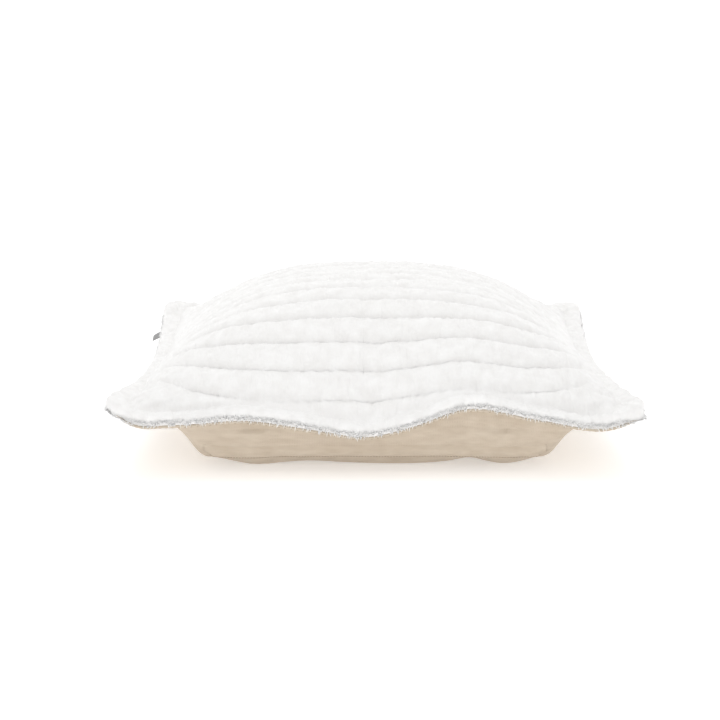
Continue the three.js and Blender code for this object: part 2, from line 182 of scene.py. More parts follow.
def rim(s, t):
    """Height of the seam round the pillow, carried on inside it."""
    level = mix(RIM_MIDDLE, RIM_CORNER, s * s * t * t)
    front = curve(s, FRONT_ALONG, FRONT_HEIGHT)
    return mix(level, front, wave_share(t)) - SIDE_SAG * (1 - t * t) * s * s


def within_rim(s, t):
    """Shares of the way out from the middle to the sewn rim."""
    return np.minimum(1, np.abs(s) / FLANGE), np.minimum(1, np.abs(t) / FLANGE)


def crown(s, t):
    """The dome's height over the rim, as a share of the most."""
    a, b = within_rim(s, t)
    return (1 - a ** DOME_POWER) * (1 - b ** DOME_POWER)


def edge_distance(s, t):
    """How far in from the edge, rounded off at the corners."""
    a, b = HALF_SIDE * (1 - np.abs(s)), HALF_SIDE * (1 - np.abs(t))
    low, far = np.minimum(a, b), np.abs(a - b)
    return np.maximum(0, low - CORNER_SOFT * np.log1p(np.exp(-far / CORNER_SOFT)))


def overhang(distance):
    """How far the pile stands out past the binding."""
    return RIM_BULGE * np.sin(np.pi * np.sqrt(np.clip(distance / BULGE_WIDTH, 0, 1)))


def top_point(s, t):
    """The plush surface without its ribs, lumps and clumps."""
    x, y = plan(s, t)
    x = x + np.sign(s) * overhang(HALF_SIDE * (1 - np.abs(s)))
    y = y + np.sign(t) * overhang(HALF_SIDE * (1 - np.abs(t)))
    dome = crown(s, t)
    e = edge_distance(s, t)
    roll = np.sqrt(np.clip(1 - (1 - np.clip(e / ROLL_WIDTH, 0, 1)) ** 2, 0, 1))
    valley = VALLEY_DEPTH * np.exp(-((e - VALLEY_IN) / VALLEY_WIDTH) ** 2)
    pile = (mix(RIM_PILE, FIELD_PILE, dome) + CORNER_PILE * (s * t) ** 12) * roll - valley
    return np.stack([x, y, rim(s, t) + 0.001 + DOME * dome + pile], -1)


def arc_from_front():
    """How far each t lies from the front seam, along the plush over the middle."""
    t = np.linspace(-1, 1, 1001)
    flat = top_point(0 * t, t)
    flat[:, 2] = RIM_MIDDLE + DOME * crown(0 * t, t)
    steps = np.linalg.norm(np.diff(flat, axis=0), axis=1)
    return t, np.concatenate([[0], np.cumsum(steps)])


ARC_T, ARC = arc_from_front()


def rib_height(s, t, shift):
    """Rounded ribs with sharp grooves, running left to right. Shift is a share of the pitch."""
    bend = RIB_BEND * (1 - t * t) * t * s ** 4
    ripple = -RIB_WAVE * (1 - np.cos(2 * np.pi * s / RIB_WAVE_LENGTH)) * wave_share(t)
    drift = RIB_DRIFT * noise(s, t, 0.5, 0.3, 3)
    at = np.interp(t + bend - ripple + drift, ARC_T, ARC)
    phase = (at - FIRST_GROOVE) / RIB_PITCH + shift
    u = np.abs(2 * (phase - np.floor(phase)) - 1)
    sides = 1 - smooth(np.abs(s), 0.62, 0.93)
    ends = 1 - smooth(np.abs(t), 0.9, 0.95)
    stretched = mix(0.55, 1, smooth(np.abs(t), 0.2, 0.75))
    return -RIB_DEPTH * u ** GROOVE_SHARPNESS * sides * ends * stretched


# ---------------------------------------------------------------- meshes


def mesh_object(name, points, faces, material):
    mesh = bpy.data.meshes.new(name)
    mesh.from_pydata(np.asarray(points).tolist(), [], faces)
    mesh.update()
    mesh.polygons.foreach_set("use_smooth", [True] * len(mesh.polygons))
    obj = bpy.data.objects.new(name, mesh)
    bpy.context.scene.collection.objects.link(obj)
    mesh.materials.append(material)
    return obj


def grid_faces(rows, columns, start=0):
    i = np.arange(rows - 1)[:, None] * columns + np.arange(columns - 1)[None, :] + start
    return np.stack([i, i + 1, i + columns + 1, i + columns], -1).reshape(-1, 4)


def grid_object(name, grid, material):
    rows, columns = grid.shape[:2]
    return mesh_object(name, grid.reshape(-1, 3), grid_faces(rows, columns).tolist(), material)


def tube_faces(rings, sides, closed=False):
    """Faces round a tube. Its two ends are capped, or joined to each other when it is closed."""
    faces = []
    for i in range(rings if closed else rings - 1):
        near, far = i * sides, (i + 1) % rings * sides
        for j in range(sides):
            k = (j + 1) % sides
            faces.append((near + j, near + k, far + k, far + j))
    if not closed:
        last = (rings - 1) * sides
        faces += [tuple(range(sides))[::-1], tuple(range(last, last + sides))]
    return faces


def round_section(count):
    """Angles of evenly spaced points round a circle."""
    return 2 * math.pi * np.arange(count) / count


# ---------------------------------------------------------------- materials


def new_material(name, color, roughness, sheen=0.0, sheen_roughness=0.5, metallic=0.0):
    material = bpy.data.materials.new(name)
    material.use_nodes = True
    shader = material.node_tree.nodes["Principled BSDF"]
    shader.inputs["Base Color"].default_value = (*color, 1)
    shader.inputs["Roughness"].default_value = roughness
    shader.inputs["Metallic"].default_value = metallic
    shader.inputs["Sheen Weight"].default_value = sheen
    shader.inputs["Sheen Roughness"].default_value = sheen_roughness
    material.diffuse_color = (*color, 1)
    return material, material.node_tree, shader


def noise_node(tree, scale, detail=3.0, stretch=(1, 1, 1)):
    nodes, links = tree.nodes, tree.links
    where = nodes.new("ShaderNodeTexCoord")
    mapping = nodes.new("ShaderNodeMapping")
    mapping.inputs["Scale"].default_value = stretch
    texture = nodes.new("ShaderNodeTexNoise")
    texture.inputs["Scale"].default_value = scale
    texture.inputs["Detail"].default_value = detail
    links.new(where.outputs["Object"], mapping.inputs["Vector"])
    links.new(mapping.outputs["Vector"], texture.inputs["Vector"])
    return texture.outputs["Fac"]


def tint(tree, shader, factor, dark, light):
    ramp = tree.nodes.new("ShaderNodeValToRGB")
    ramp.color_ramp.elements[0].color = (*dark, 1)
    ramp.color_ramp.elements[1].color = (*light, 1)
    ramp.color_ramp.elements[0].position = 0.3
    ramp.color_ramp.elements[1].position = 0.7
    tree.links.new(factor, ramp.inputs["Fac"])
    tree.links.new(ramp.outputs["Color"], shader.inputs["Base Color"])


def bump(tree, shader, height, strength, distance):
    node = tree.nodes.new("ShaderNodeBump")
    node.inputs["Strength"].default_value = strength
    node.inputs["Distance"].default_value = distance
    tree.links.new(height, node.inputs["Height"])
    tree.links.new(node.outputs["Normal"], shader.inputs["Normal"])
    return node


def plush_material():
    material, tree, shader = new_material("plush", (0.84, 0.835, 0.825), 0.95, 0.45, 0.4)
    tint(tree, shader, noise_node(tree, 60), (0.81, 0.8, 0.788), (0.87, 0.865, 0.857))
    bump(tree, shader, noise_node(tree, 700, 4, (1, 0.4, 0.4)), 0.5, 0.0012)
    return material


def brightened_pile_material():
    # painted light: the tufts are the plush's own white fur, coloured much lighter (0.97 against the
    # plush's 0.84) to offset the shade among them
    material, _, shader = new_material("pile", (0.97, 0.967, 0.96), 0.9, 0.6, 0.4)
    shader.inputs["Subsurface Weight"].default_value = 0.8
    shader.inputs["Subsurface Radius"].default_value = (1, 1, 1)
    shader.inputs["Subsurface Scale"].default_value = 0.004
    return material


def weave_height(tree, pitch):
    """Plain weave: two sets of threads, one over the other."""
    nodes, links = tree.nodes, tree.links
    where = nodes.new("ShaderNodeTexCoord")
    bands = []
    for direction in ("X", "Y"):
        wave = nodes.new("ShaderNodeTexWave")
        wave.wave_type = "BANDS"
        wave.bands_direction = direction
        wave.inputs["Scale"].default_value = 1 / (pitch * 20) * 3.14
        wave.inputs["Distortion"].default_value = 0.4
        wave.inputs["Detail"].default_value = 1.0
        wave.inputs["Detail Scale"].default_value = 0.3
        links.new(where.outputs["Object"], wave.inputs["Vector"])
        bands.append(wave.outputs["Fac"])
    join = nodes.new("ShaderNodeMath")
    join.operation = "MAXIMUM"
    for k, band in enumerate(bands):
        links.new(band, join.inputs[k])
    return join.outputs["Value"]


def canvas_material(name, dark, light):
    material, tree, shader = new_material(name, light, 0.92, 0.15, 0.6)
    tint(tree, shader, noise_node(tree, 45, 5, (1, 1, 3)), dark, light)
    bump(tree, shader, weave_height(tree, 0.0011), 0.35, 0.0006)
    return material


def metal_material():
    material, tree, shader = new_material("zip_metal", (0.5, 0.47, 0.42), 0.35, metallic=1.0)
    bump(tree, shader, noise_node(tree, 900, 3, (4, 1, 1)), 0.15, 0.0002)
    return material


PLUSH = plush_material()
BRIGHTENED_PILE = brightened_pile_material()
CANVAS_CLOTH = canvas_material("canvas", (0.52, 0.435, 0.34), (0.6, 0.515, 0.415))
BINDING_CLOTH = canvas_material("binding", (0.52, 0.44, 0.345), (0.62, 0.54, 0.44))
TAPE_CLOTH = canvas_material("zip_tape_cloth", (0.55, 0.46, 0.36), (0.62, 0.53, 0.43))
NYLON = new_material("zip_nylon", (0.55, 0.46, 0.35), 0.4)[0]
METAL = metal_material()
LINING = canvas_material("lining_cloth", (0.8, 0.79, 0.77), (0.86, 0.855, 0.84))
FIBRE = new_material("fibre", (0.88, 0.88, 0.87), 0.95, 0.3)[0]
# dark brown thread; on the lip its dark line also serves as painted shadow
THREAD_AND_SHADOW_LINE = new_material("thread", (0.36, 0.28, 0.2), 0.7)[0]
LABEL_CLOTH = new_material("label_tape", (0.33, 0.33, 0.335), 0.65, 0.3)[0]

# ---------------------------------------------------------------- plush top

COLUMNS, ROWS = 200, 400          # of points over each half
STRIP_INSETS = (0.975, 0.99)      # where the strip under the rim runs, as shares of the plan
STRIP_BELOW = 0.0004
LUMP_HEIGHT, CLUMP_HEIGHT, FIBRE_HEIGHT = 0.0012, 0.0011, 0.0007
RIB_SHIFT = 0.08                  # of the right half against the left, as a share of the pitch
TUFTS, TUFT_LENGTH, TUFT_WIDTH = 6500, 0.0048, 0.0015
TUFT_INSET, TUFT_SUNK = 0.003, 0.0012


def plush_grid(side):
    """Points of one half of the top, and their s and t."""
    ends = (-1, SEAM_S) if side < 0 else (SEAM_S, 1)
    s_line = np.linspace(*ends, COLUMNS)
    t_line = np.linspace(-1, 1, ROWS)
    s, t = np.meshgrid(s_line, t_line)
    base = top_point(s, t) + settled(s, t, ABOVE)
    normal = grid_normals(base)
    e = edge_distance(s, t)
    x, y = base[..., 0], base[..., 1]
    from_seam = np.abs(x - SEAM_X)
    # at the front, the right half is rougher and its ribs don't quite meet those of the left
    right = (side > 0) * smooth(from_seam, 0.001, 0.014)
    rough = mix(1.0, mix(1.3, 1.0, smooth(y, -0.28, -0.16)), right)
    ribs = rib_height(s, t, RIB_SHIFT * (1 - smooth(y, -0.25, -0.1)) * right)
    sewn = -mix(0.0026, 0.0009, smooth(y, -0.28, -0.1)) * np.exp(-(from_seam / 0.006) ** 2)
    lumps = LUMP_HEIGHT * noise(x, y, 0.028, 0.02, 1)
    fluffy = rough * mix(1.1, 1, smooth(e, 0.008, 0.026))
    clumps = CLUMP_HEIGHT * noise(x, y, 0.006, 0.012, 2) * fluffy
    fibres = FIBRE_HEIGHT * noise(x, y, 0.003, 0.0075, 4) * fluffy
    inside = smooth(e, -0.002, 0.003)
    lift = ribs + sewn + (lumps + clumps + fibres) * inside
    grid = base + normal * lift[..., None]
    return grid, s, t


def turned_under(grid, s, t, side):
    """Adds a strip under the rim along the three outer edges of a half."""
    def strip(ss, tt, inset):
        x, y = plan(ss * inset, tt * inset)
        return np.stack([x, y, rim(ss, tt) - STRIP_BELOW + 0 * x], -1)

    front = np.stack([strip(s[0], t[0], k) for k in STRIP_INSETS])
    back = np.stack([strip(s[-1], t[-1], k) for k in STRIP_INSETS[::-1]])
    grid = np.concatenate([front, grid, back])
    s2 = np.concatenate([s[:1], s[:1], s, s[-1:], s[-1:]])
    t2 = np.concatenate([t[:1], t[:1], t, t[-1:], t[-1:]])
    edge = 0 if side < 0 else -1
    columns = np.stack([strip(s2[:, edge], t2[:, edge], k) for k in STRIP_INSETS], 1)
    if side < 0:
        return np.concatenate([columns, grid], 1)
    return np.concatenate([grid, columns[:, ::-1]], 1)


def plush_half(name, side, node):
    grid, s, t = plush_grid(side)
    obj = grid_object(name, turned_under(grid, s, t, side), PLUSH)
    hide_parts(node)
    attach(obj, "cushion")


# ---------------------------------------------------------------- pile


def tuft_mesh(roots, directions, lengths, widths, droop):
    """Three-sided tapering tufts, bent over by droop."""
    count = len(roots)
    directions = directions / np.linalg.norm(directions, axis=1, keepdims=True)
    helper = np.where(np.abs(directions[:, 2:3]) > 0.8, [[1.0, 0, 0]], [[0, 0, 1.0]])
    a = np.cross(directions, helper)
    a /= np.linalg.norm(a, axis=1, keepdims=True)
    b = np.cross(directions, a)
    spin = rng.random(count) * 2 * math.pi
    points = []
    for share, fat in ((0, 1.0), (0.5, 0.75)):
        centre = roots + directions * (lengths * share)[:, None] + droop * share ** 2
        for k in range(3):
            angle = spin + k * 2 * math.pi / 3
            ring = a * np.cos(angle)[:, None] + b * np.sin(angle)[:, None]
            points.append(centre + ring * (widths * fat / 2)[:, None])
    points.append(roots + directions * lengths[:, None] + droop)
    points = np.stack(points, 1).reshape(-1, 3)
    sides = [[k, (k + 1) % 3, (k + 1) % 3 + 3, k + 3] for k in range(3)]
    tips = [[k + 3, (k + 1) % 3 + 3, 6] for k in range(3)]
    start = np.arange(count)[:, None, None] * 7
    faces = (start + np.array(sides)).reshape(-1, 4).tolist()
    return points, faces + (start + np.array(tips)).reshape(-1, 3).tolist()


def round_edge(u):
    """Side, s and t of points on the edge of the plan. Each side takes 1 of u, the front first."""
    side = np.floor(u).astype(int)
    a = 2 * (u - side) - 1
    s = np.choose(side, [a, 1 + 0 * a, -a, -1 + 0 * a])
    t = np.choose(side, [-1 + 0 * a, a, 1 + 0 * a, -a])
    return side, s, t


def outline(count):
    """Points scattered evenly along the whole edge, as (s, t, outward x, outward y)."""
    side, s, t = round_edge((np.arange(count) + rng.random(count)) / count * 4)
    tip = np.abs(s * t) ** 20
    out_x = np.choose(side, [0, 1, 0, -1]) + 0.8 * np.sign(s) * tip
    out_y = np.choose(side, [-1, 0, 1, 0]) + 0.8 * np.sign(t) * tip
    return s, t, out_x, out_y


def pile_rim():
    """The ragged furry edge that hangs over the binding."""
    s, t, ox, oy = outline(TUFTS)
    k = rng.random(TUFTS)
    inset = 1 - TUFT_INSET * k
    root = top_point(s * inset, t * inset)
    root[:, 2] -= TUFT_SUNK
    out = np.stack([ox, oy, 0 * ox], 1)
    up = np.stack([0 * ox, 0 * ox, 1 + 0 * ox], 1)
    lean = (1 - k)[:, None]
    way = out * (0.4 + 0.6 * lean) + up * mix(0.75, -0.35, lean) + rng.normal(0, 0.3, (TUFTS, 3))
    lengths = TUFT_LENGTH * (0.55 + 0.9 * rng.random(TUFTS))
    widths = TUFT_WIDTH * (0.7 + 0.6 * rng.random(TUFTS))
    droop = -up * (lengths * 0.3)[:, None]
    points, faces = tuft_mesh(root, way, lengths, widths, droop)
    obj = mesh_object("pile_rim", points, faces, BRIGHTENED_PILE)
    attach(obj, "cushion")


# ---------------------------------------------------------------- canvas base

HEM_T = -0.985           # the canvas ends a little inside the binding
CANVAS_COLUMNS = 300
LOBES_AT, LOBE_WIDTH, LOBE_HEIGHT = 0.165, 0.03, 0.004   # where the front of the base bulges
SLIT_T = [SLIT["upper"][0] / MIDDLE, SLIT["lower"][0] / MIDDLE]
FOLD_T = SLIT["fold"][0] / MIDDLE
TUCK_T = TUCK[0] / MIDDLE
FLOOR_T = FLOOR_LINE_Y / MIDDLE
SLIT_MIDDLE_T = sum(SLIT_T) / 2


def loose_under(s, t):
    """Height of the outside of the canvas, before its front is set straight."""
    a, b = within_rim(s, t)
    share = np.maximum(0, 1 - a ** HANG_ACROSS - b ** HANG_ALONG)
    height = rim(s, t) - CANVAS - SEAM_GAP - HANG_DROP * share ** HANG_WALL
    return np.log1p(np.exp(np.clip(height / FLOOR_BEND, -40, 40))) * FLOOR_BEND


def slit_share(s):
    """How far the front of the base follows the zip's straight lines."""
    return 1 - smooth(np.abs(s), SLIT_STRAIGHT, SLIT_BLENDED)


def slit_open(s):
    """How far apart the slit's edges are, as a share of the most."""
    return 1 - smooth(np.abs(s), SLIT_OPEN, SLIT_CLOSED)


def underside(s, t):
    """The outside of the canvas. Its front is straight where the zip lies."""
    x, y = plan(s, t)
    z = loose_under(s, t)
    lift = curve(x, LIFT_ALONG, LIFT_HEIGHT)
    w = slit_share(s)
    lines = [(plan(s, -FLANGE)[1], loose_under(s, -FLANGE)), SLIT["fold"], SLIT["upper"],
             SLIT["lower"], TUCK, (FLOOR_LINE_Y, lift)]
    stops = [-FLANGE, FOLD_T, *SLIT_T, TUCK_T, FLOOR_T]
    straight_y = y.copy()
    straight_z = np.where(t < FLOOR_T, z, lift)
    for k in range(5):
        here = (t > stops[k]) & (t <= stops[k + 1])
        share = (t - stops[k]) / (stops[k + 1] - stops[k])
        straight_y = np.where(here, mix(lines[k][0], lines[k + 1][0], share), straight_y)
        straight_z = np.where(here, mix(lines[k][1], lines[k + 1][1], share), straight_z)
    level = w * (1 - smooth(t, FLOOR_T, LEVEL_FADES_AT))
    return np.stack([x, mix(y, straight_y, w), mix(z, straight_z, level)], -1)


def canvas_folds(x, y, z, s, t):
    """Soft creases of the slack canvas, strongest between the hem and the floor."""
    from_slit = np.abs(t - SLIT_MIDDLE_T) * MIDDLE
    side = smooth(z, 0.004, 0.03) * smooth(from_slit, 0.012, 0.032)
    side = side * smooth(1 - np.maximum(np.abs(s), np.abs(t)), 0.02, 0.07)
    folds = 0.0034 * noise(x + 1.2 * z, y, 0.05, 0.12, 5)
    folds = folds + 0.002 * noise(x - 0.9 * z, y, 0.024, 0.06, 6)
    lobes = [np.exp(-((x - place) / LOBE_WIDTH) ** 2) for place in (-LOBES_AT, LOBES_AT)]
    front = smooth(-y, 0.24, 0.27) * smooth(from_slit, 0.005, 0.012)
    pucker = 0.0005 * noise(x, y, 0.007, 0.03, 7) * smooth(z, 0.04, 0.06)
    return (folds + pucker) * side + LOBE_HEIGHT * (lobes[0] + lobes[1]) * front * (z < 0.06)


def canvas_grid(t_of_row):
    """Points of the canvas over lines from left to right. Each line gives t for every s."""
    line = np.linspace(HEM_T, -HEM_T, CANVAS_COLUMNS)
    s = np.stack([line] * len(t_of_row))
    t = np.stack([f(line) for f in t_of_row])
    grid = blurred(underside(s, t), 4)
    grid = grid + settled(s, t, BELOW)
    normal = -grid_normals(grid)
    lift = canvas_folds(grid[..., 0], grid[..., 1], grid[..., 2], s, t)
    grid = grid + normal * lift[..., None]
    grid[..., 2] = np.maximum(grid[..., 2], FLOOR_CLEAR)
    return grid[::-1]


def thickened(obj, thickness, offset=-1):
    """Gives a sheet its thickness: behind its face, or on both sides of it with an offset of 0."""
    thick = obj.modifiers.new("cloth", "SOLIDIFY")
    thick.thickness = thickness
    thick.offset = offset
    bpy.context.view_layer.objects.active = obj
    bpy.ops.object.modifier_apply(modifier=thick.name)


def canvas_piece(name, grid, node):
    obj = grid_object(name, grid, CANVAS_CLOTH)
    thickened(obj, CANVAS)
    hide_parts(node)
    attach(obj, "cushion")


def base_panel():
    start = lambda s: mix(SLIT_MIDDLE_T, SLIT_T[1], slit_open(s))
    near = [lambda s, w=w: mix(start(s), TUCK_T, w) for w in np.linspace(0, 1, 6)]
    tuck = [lambda s, v=v: v + 0 * s for v in np.linspace(TUCK_T, FLOOR_T, 10)[1:]]
    far = [lambda s, v=v: v + 0 * s for v in np.linspace(FLOOR_T, -HEM_T, 140)[1:]]
    canvas_piece("canvas_base", canvas_grid(near + tuck + far), "cover_base_panel")


def front_strip():
    end = lambda s: mix(SLIT_MIDDLE_T, SLIT_T[0], slit_open(s))
    rows = [lambda s, w=w: mix(HEM_T + 0 * s, end(s), w) for w in np.linspace(0, 1, 36)]
    canvas_piece("canvas_front", canvas_grid(rows), "cover_front_strip")


# ---------------------------------------------------------------- zip and its lip

ALONG = np.array([1, 0, 0])
UP_SLOPE = np.array([0, SLIT["upper"][0] - SLIT["lower"][0], SLIT["upper"][1] - SLIT["lower"][1]])
UP_SLOPE /= np.linalg.norm(UP_SLOPE)
OUTWARD = np.cross(ALONG, UP_SLOPE)
ZIP_CENTRE = np.array([0, *(np.array(SLIT["upper"]) + np.array(SLIT["lower"])) / 2])


def zip_space(x, u, n):
    """Points from the zip's own axes: along it, up the slope and out of the canvas."""
    return ZIP_CENTRE + x[..., None] * ALONG + u[..., None] * UP_SLOPE + n[..., None] * OUTWARD


TEETH_PITCH, TEETH_TURNS, TEETH_START = 0.0016, 256, -0.205
TOOTH_SIDE, TOOTH_REACH, TOOTH_RISE, TOOTH_RADIUS = 0.00205, 0.00125, 0.0009, 0.0003
TAPE_HALF, TAPE_NEAR, TAPE_FAR = 0.212, 0.0008, 0.0123
TEETH_IN, TAPE_IN = 0.0004, 0.0015     # behind the plane of the slit's edges


def lip():
    """The fold of canvas that hides the zip. It is sewn down above and open below."""
    # millimetres up the slope and out of the canvas, round the fold
    section = [(15.4, -0.7), (13.6, 0.2), (11.6, 1.6), (9.6, 3.5), (7.2, 5.4), (4, 6.7), (0, 7.1),
               (-4, 7), (-6.4, 6.8), (-7.4, 6.2), (-6.8, 5.5), (-4, 5.5), (0, 5.5), (4, 5.4),
               (6.4, 4.2), (8.2, 2.6), (10, 0.6), (13, -0.7)]
    u0, n0 = (np.array(section) / 1000).T
    x, k = np.meshgrid(np.linspace(-LIP_HALF, LIP_HALF, 240), np.arange(len(section)), indexing="ij")
    hang = np.clip((LIP_HANGS_FROM - u0[k]) / LIP_HANG, 0, 1)
    u = u0[k] + (curve(x, LIP_ALONG, LIP_EDGE) + LIP_DEEPEST) * hang
    slack = hang * 0.0007 * (1 + noise(x, 0 * x, 0.03, 1, 8))
    n = n0[k] + slack + 0.0002 * noise(x, u, 0.006, 0.01, 9)
    end = 1 - 0.8 * smooth(np.abs(x), LIP_HALF - 0.014, LIP_HALF)
    grid = zip_space(x, u, n * end)
    obj = mesh_object("zip_lip", grid.reshape(-1, 3), tube_faces(*x.shape), CANVAS_CLOTH)
    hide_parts("zip_flap")
    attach(obj, "cushion")
    # stitches of dark thread along the lip's lower edge: partly real topstitching, partly painted
    # shadow, their dark line standing in for the shade under the lip
    near_edge = grid[:, section.index((-6.4, 6.8))] + OUTWARD * 0.0002
    first = near_edge[4:-4:2]
    line = stitches("lip_stitches_painted_shadow_line", first, mix(first, near_edge[5:-3:2], 1.3), 0.0009)
    for piece in (obj, line):
        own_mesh(piece)


def stitches(name, starts, ends, thick):
    """Short rounded thread stitches between pairs of points."""
    way = ends - starts
    way /= np.linalg.norm(way, axis=1, keepdims=True)
    helper = np.cross(way, np.array([0.3, 0.2, 0.93]))
    helper /= np.linalg.norm(helper, axis=1, keepdims=True)
    other = np.cross(way, helper)
    sides = 6
    profile = ((0, 0.35), (0.15, 0.9), (0.5, 1), (0.85, 0.9), (1, 0.35))
    points = []
    for share, fat in profile:
        centre = mix(starts, ends, share)
        for angle in round_section(sides):
            out = helper * math.cos(angle) + other * math.sin(angle)
            points.append(centre + out * thick * fat / 2)
    one = np.array(tube_faces(len(profile), sides)[:-2])
    caps = np.array(tube_faces(len(profile), sides)[-2:])
    faces = []
    for first in np.arange(len(starts)) * len(points):
        faces += (one + first).tolist() + (caps + first).tolist()
    obj = mesh_object(name, np.stack(points, 1).reshape(-1, 3), faces, THREAD_AND_SHADOW_LINE)
    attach(obj, "cushion")
    return obj


def coil_teeth(side):
    """The nylon coil of one side: a helix whose turns are the zip's teeth."""
    steps, sides = 8, 5
    k = np.arange(TEETH_TURNS * steps)
    angle = 2 * math.pi * k / steps
    x = TEETH_START + TEETH_PITCH * k / steps + (0 if side > 0 else TEETH_PITCH / 2)
    u = side * (TOOTH_SIDE + TOOTH_REACH * np.cos(angle))
    n = -TEETH_IN + TOOTH_RISE * np.sin(angle)
    line = np.stack([x, u, n], -1)
    way = np.gradient(line, axis=0)
    way /= np.linalg.norm(way, axis=1, keepdims=True)
    a = np.cross(way, [1.0, 0, 0])
    a /= np.linalg.norm(a, axis=1, keepdims=True)
    b = np.cross(way, a)
    turn = round_section(sides)[:, None]
    tube = line[:, None] + TOOTH_RADIUS * (a[:, None] * np.cos(turn) + b[:, None] * np.sin(turn))
    points = zip_space(tube[..., 0], tube[..., 1], tube[..., 2]).reshape(-1, 3)
    name = "teeth_upper" if side > 0 else "teeth_lower"
    obj = mesh_object(name, points, tube_faces(len(k), sides), NYLON)
    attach(obj, "cushion")


def dress_zip():
    """Finishes for the zip parts that are shown as they are in the CAD."""
    metal = ["zip_top_stop_upper", "zip_top_stop_lower", "zip_bottom_stop", "zip_slider",
             "zip_pull_tab"]
    for names, material in ((metal, METAL), (["zip_coil_upper", "zip_coil_lower"], NYLON)):
        for name in names:
            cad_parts[name].material_slots[0].material = material


def tape(side):
    """One woven tape of the zip."""
    edges = (TAPE_NEAR, TAPE_FAR) if side > 0 else (-TAPE_FAR, -TAPE_NEAR)
    line = np.linspace(-TAPE_HALF, TAPE_HALF, 300)
    x, u = np.meshgrid(line, np.linspace(*edges, 12), indexing="ij")
    n = -TAPE_IN + 0.00008 * noise(x, u, 0.01, 0.004, 10)
    obj = grid_object("tape_upper" if side > 0 else "tape_lower", zip_space(x, u, n), TAPE_CLOTH)
    thickened(obj, 0.0008)
    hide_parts("zip_tape_upper" if side > 0 else "zip_tape_lower")
    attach(obj, "cushion")


# ---------------------------------------------------------------- hem binding and label


def edge_loop(count):
    """Points round the edge of the plan, with their outward directions."""
    _, s, t = round_edge(np.arange(count) / count * 4)
    x, y = plan(s, t)
    way = np.stack([np.roll(x, -1) - np.roll(x, 1), np.roll(y, -1) - np.roll(y, 1)], -1)
    for _ in range(3):
        way = (way + np.roll(way, 1, axis=0) + np.roll(way, -1, axis=0)) / 3
    way /= np.linalg.norm(way, axis=1, keepdims=True)
    return s, t, x, y, np.stack([way[:, 1], -way[:, 0]], -1)


HEM_POINTS, HEM_SIDES = 1400, 12
HEM_HALF_WIDTH, HEM_HALF_HEIGHT = 0.0026, 0.0021
HEM_IN, HEM_BELOW = 0.0028, 0.0016     # its middle, in from the edge of the plan and below the rim
STITCH_IN, STITCH_BELOW, STITCH_STEP = 0.0008, 0.0014, 4


def hem_binding():
    s, t, x, y, out = edge_loop(HEM_POINTS)
    level = rim(s, t) - HEM_BELOW + 0.0003 * noise(x + y, x - y, 0.012, 0.012, 11)
    points = []
    for angle in round_section(HEM_SIDES):
        reach = HEM_HALF_WIDTH * math.cos(angle) - HEM_IN
        high = HEM_HALF_HEIGHT * math.sin(angle)
        points.append(np.stack([x + out[:, 0] * reach, y + out[:, 1] * reach, level + high], -1))
    faces = tube_faces(HEM_POINTS, HEM_SIDES, closed=True)
    obj = mesh_object("hem_roll", np.stack(points, 1).reshape(-1, 3), faces, BINDING_CLOTH)
    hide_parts("hem_binding")
    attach(obj, "cushion")
    seam = np.stack([x - out[:, 0] * STITCH_IN, y - out[:, 1] * STITCH_IN, level - STITCH_BELOW], -1)
    pick = np.arange(0, HEM_POINTS - STITCH_STEP, STITCH_STEP)
    ends = mix(seam[pick], seam[pick + STITCH_STEP // 2], 0.6)
    stitches("hem_stitches", seam[pick], ends, 0.0008)


def label():
    """A blank woven tape, folded in half, sewn in at the left edge and turned to the front."""
    thick, wide, free, sewn = 0.0005, 0.01, 0.0195, 0.008
    x0, y0 = plan(-1, LABEL_AT)
    level = rim(-1, LABEL_AT) - 0.0042
    out = np.linspace(-sewn, free, 14)
    gap = 0.0007 + 0.0003 * np.sin(np.clip(out / free, 0, 1) * np.pi)
    reach = np.concatenate([out, [free + 0.0009], out[::-1]])
    rise = np.concatenate([gap, [0], -gap[::-1]])
    v, k = np.meshgrid(np.linspace(-0.5, 0.5, 12), np.arange(len(reach)), indexing="ij")
    far = np.clip(reach[k] / free, 0, 1)
    turn = 0.95 * smooth(far, 0, 0.55)
    across, up = v * wide, rise[k]
    sag = -0.34 * np.maximum(reach[k], 0) - 5 * np.maximum(reach[k], 0) ** 2
    y = y0 + across * np.cos(turn) - up * np.sin(turn)
    z = level + across * np.sin(turn) + up * np.cos(turn) + sag + 0.0004 * np.sin(6 * v) * far
    x = x0 - reach[k] * 0.95 + 0.18 * across * far
    obj = grid_object("folded_label", np.stack([x, y, z], -1), LABEL_CLOTH)
    thickened(obj, thick, 0)
    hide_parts("side_label")
    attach(obj, "cushion")


# ---------------------------------------------------------------- inner cushion

CASE_HALF_X, CASE_HALF_Y, CASE_Y = 0.288, 0.276, 0.016
CASE_CLEAR, CASE_CLOTH = 0.005, 0.0012
CASE_ABOVE_RIM = 0.006   # how far its seam lies above the cover's
PLUSH_BACK = 0.0012      # up from the rim to the back of the plush
FILL_CLEAR = 0.0022
FILL_REACH = 0.97        # share of the case that the fibre fills


def plan_inverse(x, y):
    """The s and t of a place inside the plan, leaving out the rounded corner tips."""
    s, t = x / HALF_SIDE, y / HALF_SIDE
    for _ in range(4):
        s = x / (HALF_SIDE - SIDE_PULL * (1 - t * t))
        t = y / (HALF_SIDE - SIDE_PULL * (1 - s * s))
    return s, t


